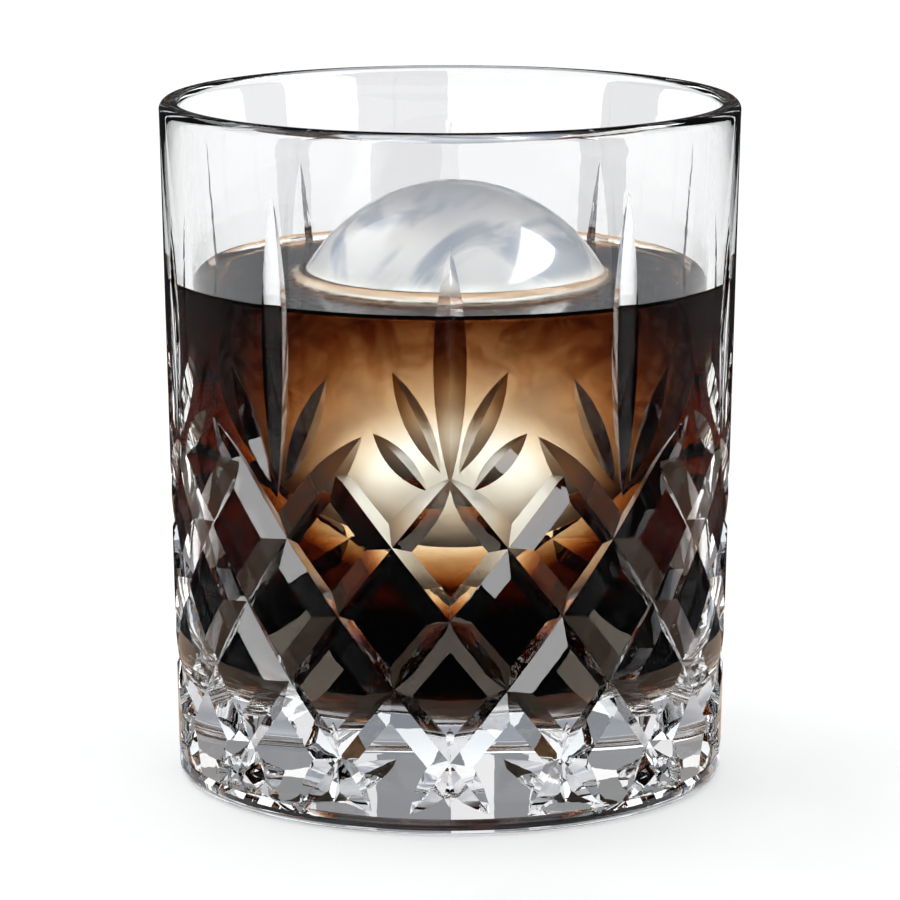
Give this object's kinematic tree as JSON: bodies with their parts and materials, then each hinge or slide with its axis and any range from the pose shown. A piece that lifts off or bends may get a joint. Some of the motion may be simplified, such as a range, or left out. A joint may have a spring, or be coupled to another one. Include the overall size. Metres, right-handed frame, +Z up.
{
  "type": "black russian cocktail in a cut tumbler",
  "caption": "Dark coffee cocktail with a large ball of clear ice in a cut-crystal tumbler with diamond lattice, fan spikes and a heavy clear base.",
  "frame": {"origin": "centre of the tumbler's foot, on the surface that it stands on", "axes": "+Z up along the tumbler's axis, -Y towards the front, where a high fan of cuts stands in the middle"},
  "size_m": [0.0844, 0.0844, 0.0999],
  "materials": {
    "crystal": "polished clear cut crystal with crisp wheel-cut facets",
    "coffee_drink": "clear near-black coffee liqueur and vodka, amber where thin",
    "clear_ice": "clear wet ice, faintly blue-grey"
  },
  "bodies": {
    "root": {"glass": "crystal", "drink": "coffee_drink", "ice_ball": "clear_ice"}
  },
  "joints": []
}
